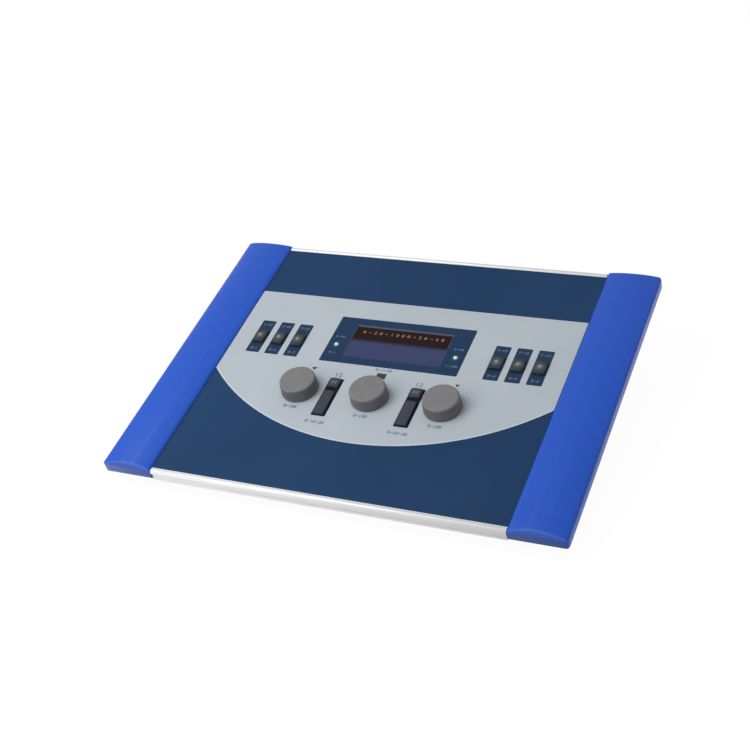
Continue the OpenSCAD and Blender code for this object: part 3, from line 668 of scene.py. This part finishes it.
bold_rows = (("0-1-20", -0.7, 126.8, 2.3, 0.36), ("12", -34.3, 116.6, 3.3, 0.50),
             ("12", 32.7, 116.6, 3.3, 0.50))
glyph_rows, glyph_columns = 7, 5
glyph_bits = {"0": (62, 81, 73, 69, 62), "1": (0, 66, 127, 64, 0), "2": (66, 97, 81, 73, 70),
              "3": (33, 65, 69, 75, 49), "4": (24, 20, 18, 127, 16), "5": (39, 69, 69, 69, 57),
              "6": (60, 74, 73, 73, 48), "-": (8, 8, 8, 8, 8)}


def deck_axes():
    """The middle knob's axis gives the deck's normal, and its foot the deck's zero level."""
    hub = next(joint for joint in frame["joints"] if joint["name"] == "knob_centre_turn")
    normal = np.array(hub["axis"]) / np.linalg.norm(hub["axis"])
    return np.array(hub["pos_m"]), np.cross(normal, (1.0, 0.0, 0.0)), normal


deck_zero, deck_back, deck_normal = deck_axes()


def deck(points):
    """Row-frame metres of deck millimetres: x right, y back from the panel's front edge, z off the foil."""
    axes = np.stack(((1.0, 0.0, 0.0), deck_back, deck_normal))
    return deck_zero + (np.asarray(points, dtype=float) - (0.0, knob_from_front, 0.0)) @ axes / 1000.0


def arc_line():
    """Flat bar carried along the arc: at each angle its four corners lie on two radii and two levels."""
    angle = np.linspace(-1, 1, arc_steps) * math.asin(arc_reach / arc_radius)
    radii = arc_radius - np.array((line_outer, line_outer, line_inner, line_inner))
    levels = np.array((line_foot, line_top, line_top, line_foot))
    x = radii * np.sin(angle)[:, None]
    y = arc_low + arc_radius - radii * np.cos(angle)[:, None]
    return deck(np.stack((x, y, levels + 0 * x), axis=-1))


def plates(boxes, level, thick=ink_thick):
    """Thin square plates, one for each low x, low y, high x and high y, all on one level of the deck."""
    boxes = np.asarray(boxes, dtype=float)
    x, y = boxes[:, (0, 2, 2, 0)], boxes[:, (1, 1, 3, 3)]
    rings = [np.stack((x, y, np.full_like(x, z)), axis=-1) for z in (level, level + thick)]
    faces = np.array(((3, 2, 1, 0), (4, 5, 6, 7), (0, 1, 5, 4), (1, 2, 6, 5), (2, 3, 7, 6), (3, 0, 4, 7)))
    faces = (faces + 8 * np.arange(len(boxes))[:, None, None]).reshape(-1, 4)
    return deck(np.stack(rings, axis=1).reshape(-1, 3)), faces


def figures(text, middle_x, middle_y, pitch, cell, solid=1.0):
    """Boxes of digits and dashes, a grid of rows and columns of cells each, lit where the column's bit is
    set; solid is the share of its cell that a box fills."""
    start = middle_x - pitch * (len(text) - 1) / 2 - glyph_columns / 2 * cell
    found = []
    for place, sign in enumerate(text):
        bits = (np.array(glyph_bits[sign])[:, None] >> np.arange(glyph_rows)) & 1
        column, row = np.nonzero(bits)
        x, y = start + place * pitch + column * cell, middle_y + (glyph_columns / 2 - row) * cell
        found.append(np.stack((x, y, x + cell * solid, y + cell * solid), axis=-1))
    return np.concatenate(found)


def printed(rows, level):
    """Plates for rows of figures, each row holding the terms of figures()."""
    return plates(np.concatenate([figures(*row) for row in rows]), level)


def wedge(tip_x, tip_y, width, height):
    """Printed triangle, one thin plate with three corners, its point towards the knob."""
    base = tip_y + height
    flat = np.array(((tip_x, tip_y), (tip_x + width / 2, base), (tip_x - width / 2, base)))
    levels = (ink_level, ink_level + ink_thick)
    return shell(deck(np.stack([np.column_stack((flat, np.full(3, z))) for z in levels])))


def ink(name, low, high):
    """Printing ink: a thin even film with a matt skin."""
    return coating(name, low, high, 0.5, 3000.0, 0.00003, specular=0.2)


dress(coating("field_foil", *field_pair, 0.46, 3200.0, 0.00004, specular=0.3, drift_cells=14.0),
      "control_foil")
# Thin pale line along the arc: a painted highlight on the foil's cut edge.
arc_highlight_paint = coating("arc_highlight_paint", *arc_highlight_pair, 0.42, 3200.0, 0.00003, specular=0.3)
stand("arc_outline", [shell(arc_line())], arc_highlight_paint, "chassis")
dark_ink, grey_ink = ink("dark_ink", *dark_ink_pair), ink("grey_ink", *grey_ink_pair)
index_marks = [plates([index_bar], ink_level)] + [wedge(*place) for place in index_wedges]
stand("knob_index_marks", index_marks, dark_ink, "chassis")
stand("field_numbers", [printed(field_rows, ink_level)], grey_ink, "chassis")
stand("bold_numbers", [printed(bold_rows, ink_level)], dark_ink, "chassis")


# ---------------- rails
# Natural anodised aluminium extrusions that hold the panel's front and rear edges; the die
# leaves faint streaks along their length, and their creases catch the light.

rail_pair = (0.70, 0.70, 0.71), (0.80, 0.80, 0.80)
rail_ease = 0.00018


def drawn_metal(name, dark, light, roughness, streaks):
    """Metal under a pale oxide skin, with streaks along X: noise squeezed along the length drives its
    colour, gloss and relief."""
    material = finish(name, roughness, metallic=0.25)
    lines = noise(material, streaks, 4.0, stretch=(0.02, 1.0, 1.0))
    feed(material, between(material, lines, dark, light, 0.3, 0.7), "Base Color")
    gloss_drift(material, lines, roughness - 0.06, roughness + 0.08)
    relief(material, lines, 0.25, 0.00003)
    return material


rail_metal = drawn_metal("rail_metal", *rail_pair, 0.38, 2400.0)
eased("front_rail", "front_extrusion", rail_ease, 2, rail_metal)
eased("rear_rail", "rear_extrusion", rail_ease, 2, rail_metal)


# ---------------- end caps
# Moulded wings of royal blue plastic with a satin skin, ribbed inside, clamped over the edges
# of the panel by screws from below. Their noses carry a painted reflection, darker towards the
# bottom as painted shade, and the creases above them a painted highlight.

cap_pair = (0.0130, 0.0850, 0.5100), (0.0110, 0.0790, 0.4850)
# Painted light on the noses: a paler painted reflection, a darker painted shade at their bottom, and a
# brighter painted highlight on the crease.
nose_reflection_blue, nose_shade_blue = (0.0400, 0.0980, 0.4200), (0.0200, 0.0500, 0.1700)
crease_highlight_blue = (0.0460, 0.1400, 0.6200)
cap_ease = 0.00085
deck_length = 254.6
crown_axis, crown_radius, crown_least = (160.4, -66.1), 70.0, -1000.0
nose_axis, nose_radius, nose_least = (118.9, -4.0), 14.0, 0.0
nose_top, nose_bottom = -1.0, -8.6
# How far the painted reflection and the painted highlight reach from the nose and from the crease.
reflection_even, reflection_depth, highlight_even, highlight_width = 0.3, 0.9, 0.2, 1.3
boss_x, boss_ys, screw_seat = 161.0, (20.0, deck_length / 2, deck_length - 20.0), -4.2
port_x, port_ys, port_z = 144.0, (2.2, deck_length - 2.2), -6.3
boss_screw_length, port_screw_length = 4.8, 9.0


def on_deck(rings, *spot):
    """Rings drawn about Z, set upright on a spot of the deck in millimetres."""
    return placed(rings, deck(spot), deck_normal)


def length_of(tree, first, second):
    """Length of the long side of a right triangle whose other two sides are the terms."""
    squares = reckon(tree, "MULTIPLY_ADD", first, first, reckon(tree, "MULTIPLY", second, second))
    return reckon(tree, "SQRT", squares)


def deck_coordinates(tree):
    """X, Y and Z along the deck's own axes, in millimetres from the middle of its foil."""
    level = tree.nodes.new("ShaderNodeMapping")
    level.vector_type = "TEXTURE"
    level.inputs["Location"].default_value = deck((0.0, deck_length / 2, 0.0))
    level.inputs["Rotation"].default_value = (math.atan2(deck_back[2], deck_back[1]), 0.0, 0.0)
    level.inputs["Scale"].default_value = metres(1.0, 1.0, 1.0)
    place = tree.nodes.new("ShaderNodeTexCoord")
    tree.links.new(place.outputs["Object"], level.inputs["Vector"])
    return coordinates(tree, level.outputs["Vector"])


def cap_plastic_painted_light():
    """Cap plastic with a painted reflection on its noses, darker towards their bottom as painted shade,
    and a painted highlight along the creases above. A point's distance from the axis of the crown's
    cylinder less its radius, and the same for the nose's, say how deep it lies under each, and on the
    crease both are nought. Only the nose's outer half counts, so its distance along the deck isn't let
    below nought."""
    material = coating("cap_plastic", *cap_pair, 0.42, 1500.0, 0.00005, specular=0.30, drift_cells=6.0)
    tree = material.node_tree
    plain = tree.nodes["Principled BSDF"].inputs["Base Color"].links[0].from_socket
    parts = deck_coordinates(tree)
    depths = []
    for side, (across, up), radius, least in ((parts["X"], crown_axis, crown_radius, crown_least),
                                              (parts["Y"], nose_axis, nose_radius, nose_least)):
        aside = reckon(tree, "MAXIMUM", beyond(tree, side, across), least)
        above = reckon(tree, "SUBTRACT", parts["Z"], up)
        depths.append(reckon(tree, "SUBTRACT", length_of(tree, aside, above), radius))
    # Shares of the painted reflection over the nose and of the painted highlight along the crease; the
    # nose's colour darkens to painted shade at its bottom.
    reflection_share = ramped(tree, reckon(tree, "ABSOLUTE", depths[1]), reflection_even, reflection_depth, 1.0, 0.0)
    highlight_share = ramped(tree, length_of(tree, *depths), highlight_even, highlight_width, 1.0, 0.0)
    upward = ramped(tree, parts["Z"], nose_bottom, nose_top, 0.0, 1.0)
    nose = between(material, upward, nose_shade_blue, nose_reflection_blue, 0.0, 1.0)
    crease = between(material, noise(material, 400.0), crease_highlight_blue, nose_reflection_blue, 0.3, 0.9)
    painted_light = blended(material, highlight_share, blended(material, reflection_share, plain, nose), crease)
    feed(material, painted_light, "Base Color")
    return material


cap_plastic = cap_plastic_painted_light()
eased("left_end_cap", "left_wing", cap_ease, 3, cap_plastic)
eased("right_end_cap", "right_wing", cap_ease, 3, cap_plastic)
cap_screws = []
for side in (-1, 1):
    cap_screws += [shell(on_deck(screw_rings(boss_screw_length), side * boss_x, y, screw_seat))
                   for y in boss_ys]
    heads = [deck((side * port_x, y, port_z)) for y in port_ys]
    cap_screws += [shell(placed(screw_rings(port_screw_length), head, (-side, 0.0, 0.0))) for head in heads]
stand("cap_screws", cap_screws, zinc, "chassis", ("end_cap_screws",))


# ---------------- display
# Navy bezel with a window of tinted acrylic. Behind its upper band a row of lit dot-matrix
# figures shows on brown-red, and the field below it is violet-blue and unlit.

bezel_pair = (0.0092, 0.0340, 0.0900), (0.0120, 0.0390, 0.1000)
slope_pair = (0.048, 0.058, 0.090), (0.060, 0.070, 0.104)
strip_brown = (0.0160, 0.0045, 0.0038)
field_violet = (0.0380, 0.0500, 0.1300)
strip_share, strip_blur = 0.46, 0.05
window_low, window_high, window_level = 137.1, 173.1, -0.6
opening_size, opening_corner, opening_y, opening_points = (82.76, 35.96), 0.3, 155.1, 240
corner_steps = 9
slope_section = ((0.0, 0.14), (0.12, 0.14), (0.22, 0.09), (0.60, -0.19), (1.00, -0.48), (1.10, -0.59),
                 (0.0, -0.59))
lit_row = ("0-20-1000-30-40", 0.4, 166.6, 4.75, 0.41, 0.82)
phosphor_body, phosphor_light, phosphor_level = (0.16, 0.10, 0.08), (0.80, 0.50, 0.38), 0.50


def outline(width, length, corner, count):
    """Rectangle with round corners: four quarter circles joined by straight sides, as count points an
    even step apart."""
    angle = np.linspace(0, math.pi / 2, corner_steps)
    quarter = np.stack((np.cos(angle), np.sin(angle)), axis=-1) * corner
    inner = np.array((width / 2 - corner, length / 2 - corner))
    path = [(quarter[::across * along] + inner) * (across, along)
            for across, along in ((1, 1), (-1, 1), (-1, -1), (1, -1))]
    path = np.concatenate(path + [path[0][:1]])
    travel = np.concatenate(([0.0], np.cumsum(np.linalg.norm(np.diff(path, axis=0), axis=1))))
    steps = np.linspace(0.0, travel[-1], count, endpoint=False)
    return np.stack([np.interp(steps, travel, path[:, axis]) for axis in (0, 1)], axis=-1)


def window_slope():
    """Sloped wall round the window: a section of insets and levels carried round the opening, so each
    point is the outline's own, drawn in along its normal by the inset."""
    path = outline(*opening_size, opening_corner, opening_points)
    ahead = np.roll(path, -1, axis=0) - np.roll(path, 1, axis=0)
    inward = np.stack((-ahead[:, 1], ahead[:, 0]), axis=-1) / np.linalg.norm(ahead, axis=1, keepdims=True)
    inset, level = (column[:, None] for column in np.array(slope_section).T)
    flat = path + inset[..., None] * inward + (0.0, opening_y)
    return deck(np.concatenate((flat, (level + 0 * path[:, 0])[..., None]), axis=-1))


def tinted_acrylic():
    """Glossy window: brown-red above, violet-blue below, with a short soft change between them."""
    material = finish("tinted_acrylic", 0.2, specular=0.16)
    tree, middle = material.node_tree, deck_length / 2
    height = ramped(tree, deck_coordinates(tree)["Y"], window_low - middle, window_high - middle, 0.0, 1.0)
    edge = 1.0 - strip_share
    tint = between(material, height, field_violet, strip_brown, edge - strip_blur, edge + strip_blur)
    feed(material, tint, "Base Color")
    gloss_drift(material, noise(material, 40.0, 3.0), 0.16, 0.26)
    relief(material, noise(material, 400.0), 0.05, 0.00003)
    return material


def glowing(name, body, light, strength, cells, body_dim=0.8, light_dim=0.85):
    """Lit lens or phosphor: a glossy body that gives off its own light, both dimmer in small clouds."""
    material = finish(name, 0.3, specular=0.3, light=strength)
    cloud = noise(material, cells)
    feed(material, between(material, cloud, body, tuple(body_dim * c for c in body)), "Base Color")
    feed(material, between(material, cloud, light, tuple(light_dim * c for c in light)), "Emission Color")
    gloss_drift(material, cloud, 0.25, 0.4)
    return material


dress(tinted_acrylic(), "display_window")
dress(coating("bezel_plastic", *bezel_pair, 0.42, 2400.0, 0.00004, specular=0.16), "display_bezel")
slope_plastic = coating("slope_plastic", *slope_pair, 0.4, 2000.0, 0.00003, specular=0.2)
stand("window_slope", [shell(window_slope(), looped=True)], slope_plastic, "chassis")
phosphor = glowing("figure_phosphor", phosphor_body, phosphor_light, phosphor_level, 420.0)
stand("lit_figures", [printed([lit_row], window_level + ink_level)], phosphor, "chassis")


# ---------------- status lights
# A green lamp on each side of the display: a clear domed lens in a moulded ring, with pale
# printed numbers above and below it. The ring's own green light is a painted glow of the lamp's halo.

lamp_x, lamp_y, lamp_r = 50.3, 148.8, 1.5
ring_middle, ring_half, ring_foot, ring_rise = lamp_r + 0.85, 0.75, 0.12, 0.30
ring_steps, ring_turns = 20, 48
lamp_body, lamp_light, lamp_level = (0.32, 0.50, 0.40), (0.48, 0.62, 0.58), 0.74
# The ring gives off a faint green light: a painted glow of the lamp's halo.
ring_body, ring_halo_glow, ring_level = (0.012, 0.055, 0.045), (0.020, 0.080, 0.045), 0.5
pale_pair = (0.170, 0.250, 0.350), (0.130, 0.205, 0.300)
bezel_print_level = 0.17
lamp_rows = (("0-50", -50.2, 157.8, 2.0, 0.30), ("0-1", -50.2, 139.5, 2.0, 0.30),
             ("0-50", 50.2, 157.8, 2.0, 0.30), ("1-100", 50.2, 139.5, 2.0, 0.30))


def lamp_ring():
    """Ring round a lamp: a low half ellipse carried round the lens, flat below."""
    angle = np.linspace(0, math.pi, ring_steps)
    section = (ring_middle + ring_half * np.cos(angle), ring_foot + ring_rise * np.sin(angle))
    return turned(np.stack(section, axis=-1), ring_turns)


dress(glowing("lamp_lens", lamp_body, lamp_light, lamp_level, 900.0), "status_leds")
# Ring material with a painted glow of the lamp's green halo.
ring_green = glowing("lamp_ring_green", ring_body, ring_halo_glow, ring_level, 900.0)
lamp_rings = [shell(on_deck(lamp_ring(), side * lamp_x, lamp_y, 0.0), looped=True) for side in (-1, 1)]
stand("lamp_rings", lamp_rings, ring_green, "chassis")
pale_ink = ink("pale_ink", *pale_pair)
stand("lamp_numbers", [printed(lamp_rows, bezel_print_level)], pale_ink, "chassis")


# ---------------- lit keys
# Six dark olive-grey keys, each in its own navy window with a pale number above and below it.
# A small lamp sits under each crown, so the plastic glows softly round a pale lens.

window_pair = (0.0120, 0.0330, 0.0800), (0.0155, 0.0390, 0.0900)
olive_pair = (0.0185, 0.0290, 0.0400), (0.0250, 0.0360, 0.0470)
key_glow = (0.085, 0.098, 0.090)
lens_body, lens_light, lens_level = (0.17, 0.19, 0.19), (0.30, 0.33, 0.33), 0.30
key_size, key_top, key_crown, key_foot, key_edge = (9.5, 13.0, 0.8), 2.58, 24.0, -3.1, 0.45
edge_steps, middle_hole, least_share = 6, 0.05, 0.01
key_y, high_number_y, low_number_y = 147.5, 162.0, 134.4
high_pitch, low_pitch, number_cell = 2.0, 2.2, 0.32
key_xs = (-117.9, -100.9, -83.9, 83.9, 100.9, 117.9)
glow_reach = 0.0033


def crowned(size, top, crown, foot, edge, count=112, inward=14):
    """Key cap's rings: up the sides from the foot, round the edge by a quarter circle and in to the
    middle. The crown falls from top by the square of the distance across, over twice its radius."""
    flat = outline(*size, count)
    quarter = np.linspace(0, math.pi / 2, edge_steps)
    to_middle = np.linspace(edge, size[0] / 2 - middle_hole, inward)[1:]
    inset = np.concatenate(((0, 0), edge * (1 - np.cos(quarter)), to_middle))
    drop = np.concatenate(((0, edge), edge * (1 - np.sin(quarter)), 0 * to_middle))
    shrink = 1 - 2 * inset[:, None, None] / np.array(size[:2])
    plan = flat * np.clip(shrink, least_share, 1)
    height = top - plan[..., 0] ** 2 / (2 * crown) - drop[:, None]
    height[0] = foot
    return np.concatenate((plan, height[..., None]), axis=-1)


def lamp_falloff(piece, centre, reach):
    """Attribute for the glow: e to the minus square of each point's distance from the lamp over reach."""
    mesh = piece.data
    points = np.empty(len(mesh.vertices) * 3)
    mesh.vertices.foreach_get("co", points)
    away = np.linalg.norm(points.reshape(-1, 3) - centre, axis=1)
    glow = mesh.attributes.new("lamp_glow", "FLOAT", "POINT")
    glow.data.foreach_set("value", np.exp(-(away / reach) ** 2))


def lit_plastic():
    """Olive-grey plastic lit from below: the lamp_glow attribute runs the light from none to full."""
    material = coating("key_plastic", *olive_pair, 0.44, 1900.0, 0.00005, specular=0.25, drift_cells=260.0,
                       light=1.0)
    near = material.node_tree.nodes.new("ShaderNodeAttribute")
    near.attribute_name = "lamp_glow"
    light = between(material, near.outputs["Fac"], (0.0, 0.0, 0.0), key_glow, 0.0, 1.0)
    feed(material, light, "Emission Color")
    return material


window_skin = coating("window_plastic", *window_pair, 0.42, 2400.0, 0.00004, specular=0.16)
key_plastic = lit_plastic()
key_lens = glowing("key_lens", lens_body, lens_light, lens_level, 1500.0)
key_rows = []
for number, x in enumerate(key_xs, 1):
    dress(window_skin, f"key_bezel_{number}")
    dress(key_lens, f"key_lens_{number}")
    key_rings = on_deck(crowned(key_size, key_top, key_crown, key_foot, key_edge), x, key_y, 0.0)
    cap = stand(f"lit_key_{number}", [shell(key_rings)], key_plastic, f"key_{number}",
                (f"key_{number}",))
    lamp_falloff(cap, deck((x, key_y, key_top)), glow_reach)
    key_rows.append((f"{number}-10", x, high_number_y, high_pitch, number_cell))
    key_rows.append((f"0-{number}", x, low_number_y, low_pitch, number_cell))
stand("key_numbers", [printed(key_rows, bezel_print_level)], pale_ink, "chassis")


# ---------------- tone bars and store keys
# Two long slate-grey bars that rock on trunnions at their far ends, each with a short store
# key above it, in a black frame. Their plastic has a fine spark-eroded grain.

slate_pair = (0.0350, 0.0430, 0.0600), (0.0480, 0.0570, 0.0780)
frame_pair = (0.0040, 0.0055, 0.0110), (0.0070, 0.0085, 0.0155)
mark_pair = (0.200, 0.225, 0.260), (0.260, 0.285, 0.320)
bar_x, bar_width, bar_corner = 33.8, 8.6, 0.6
bar_length, bar_middle, bar_points = 23.8, 85.6, 150
store_length, store_middle, store_points = 9.2, 106.6, 112
bar_skin = {"top": 2.28, "crown": 30.0, "foot": -3.6, "edge": 0.4}
mark_level, mark_thick = 2.23, 0.06
mark_strokes = ((-2.0, -1.6, -1.5, 1.6), (1.5, -1.6, 2.0, 1.6),
                (-1.1, 0.5, 1.1, 0.9), (-1.1, -0.9, 1.1, -0.5))

bar_plastic = coating("bar_plastic", *slate_pair, 0.5, 2200.0, 0.00012, specular=0.2, drift_cells=2000.0)
frame_plastic = coating("frame_black", *frame_pair, 0.5, 1800.0, 0.00005, specular=0.2)
mark_ink = coating("mark_ink", *mark_pair, 0.5, 3000.0, 0.00002, specular=0.2)
for side, hand in ((-1, "left"), (1, "right")):
    x = side * bar_x
    dress(frame_plastic, f"bar_bezel_{hand}")
    for name, node, length, middle, count in (
            (f"rocking_bar_{hand}", f"tone_bar_{hand}", bar_length, bar_middle, bar_points),
            (f"short_key_{hand}", f"store_key_{hand}", store_length, store_middle, store_points)):
        rings = crowned((bar_width, length, bar_corner), **bar_skin, count=count)
        stand(name, [shell(on_deck(rings, x, middle, 0.0))], bar_plastic, node, (node,))
    strokes = np.array(mark_strokes) + (x, store_middle, x, store_middle)
    stand(f"short_key_mark_{hand}", [plates(strokes, mark_level, mark_thick)], mark_ink,
          f"store_key_{hand}")


# ---------------- knobs
# Three plain turned-looking knobs of warm mid-grey plastic on steel shafts. Each is a hollow
# moulding with a flat top, a well-rounded rim and a drafted skirt that clears the foil. Their
# flanks are painted darker than their tops, as painted shade.

top_pair = (0.168, 0.166, 0.171), (0.188, 0.185, 0.189)
# The flank's darker grey is painted shade: top and flank are lit and shaded copies of one grey plastic.
flank_shade_pair = (0.118, 0.119, 0.128), (0.134, 0.135, 0.144)
steel_pair = (0.48, 0.48, 0.49), (0.62, 0.62, 0.62)
knob_x, knob_turns = 58.9, 160
flank_high, flank_low = 10.3, 9.1
knob_profile = ((0.0, 11.14), (6.0, 11.15), (11.0, 11.18), (12.2, 11.20), (12.7, 11.19), (13.1, 11.11),
                (13.45, 10.94), (13.72, 10.67), (13.92, 10.32), (14.06, 9.9), (14.14, 9.4), (14.2, 8.6),
                (14.35, 6.4), (14.72, 1.5), (14.77, 1.0), (14.68, 0.76), (14.45, 0.6), (13.3, 0.6),
                (13.1, 0.9), (12.95, 2.0), (12.7, 8.4), (12.0, 9.6), (0.0, 9.6))


def flank_shade_share(piece):
    """Attribute for the painted shade on the flank: nought at flank_high above the foil and over, one at
    flank_low and under, even in between. The two points at the ends of the axis come last."""
    heights = np.array(knob_profile)[:, 1]
    share = np.clip((flank_high - heights) / (flank_high - flank_low), 0.0, 1.0)
    mark = piece.data.attributes.new("knob_flank_shade", "FLOAT", "POINT")
    mark.data.foreach_set("value", np.concatenate((np.repeat(share, knob_turns), (0.0, 1.0))))


def knob_finish():
    """Satin top, and a flank painted a darker grey as painted shade; the flank attribute tells them apart.
    """
    material = finish("knob_plastic", 0.52, specular=0.3)
    cloud = noise(material, 120.0, 3.0)
    side = material.node_tree.nodes.new("ShaderNodeAttribute")
    side.attribute_name = "knob_flank_shade"
    top, flank = (between(material, cloud, *pair) for pair in (top_pair, flank_shade_pair))
    feed(material, blended(material, side.outputs["Fac"], top, flank), "Base Color")
    gloss_drift(material, noise(material, 60.0, 3.0), 0.47, 0.57)
    relief(material, noise(material, 1600.0), 0.35, 0.00008)
    return material


knob_plastic = knob_finish()
ground_steel = drawn_metal("ground_steel", *steel_pair, 0.3, 1800.0)
for hand, x in (("left", -knob_x), ("centre", 0.0), ("right", knob_x)):
    rings = on_deck(turned(knob_profile, knob_turns), x, knob_from_front, 0.0)
    knob = stand(f"turned_knob_{hand}", [shell(rings)], knob_plastic, f"knob_{hand}",
                 (f"knob_{hand}",), crease=50.0)
    flank_shade_share(knob)
    dress(ground_steel, f"shaft_{hand}")
    dress(nickel, f"encoder_{hand}")
dress(nickel, "encoder_nuts")
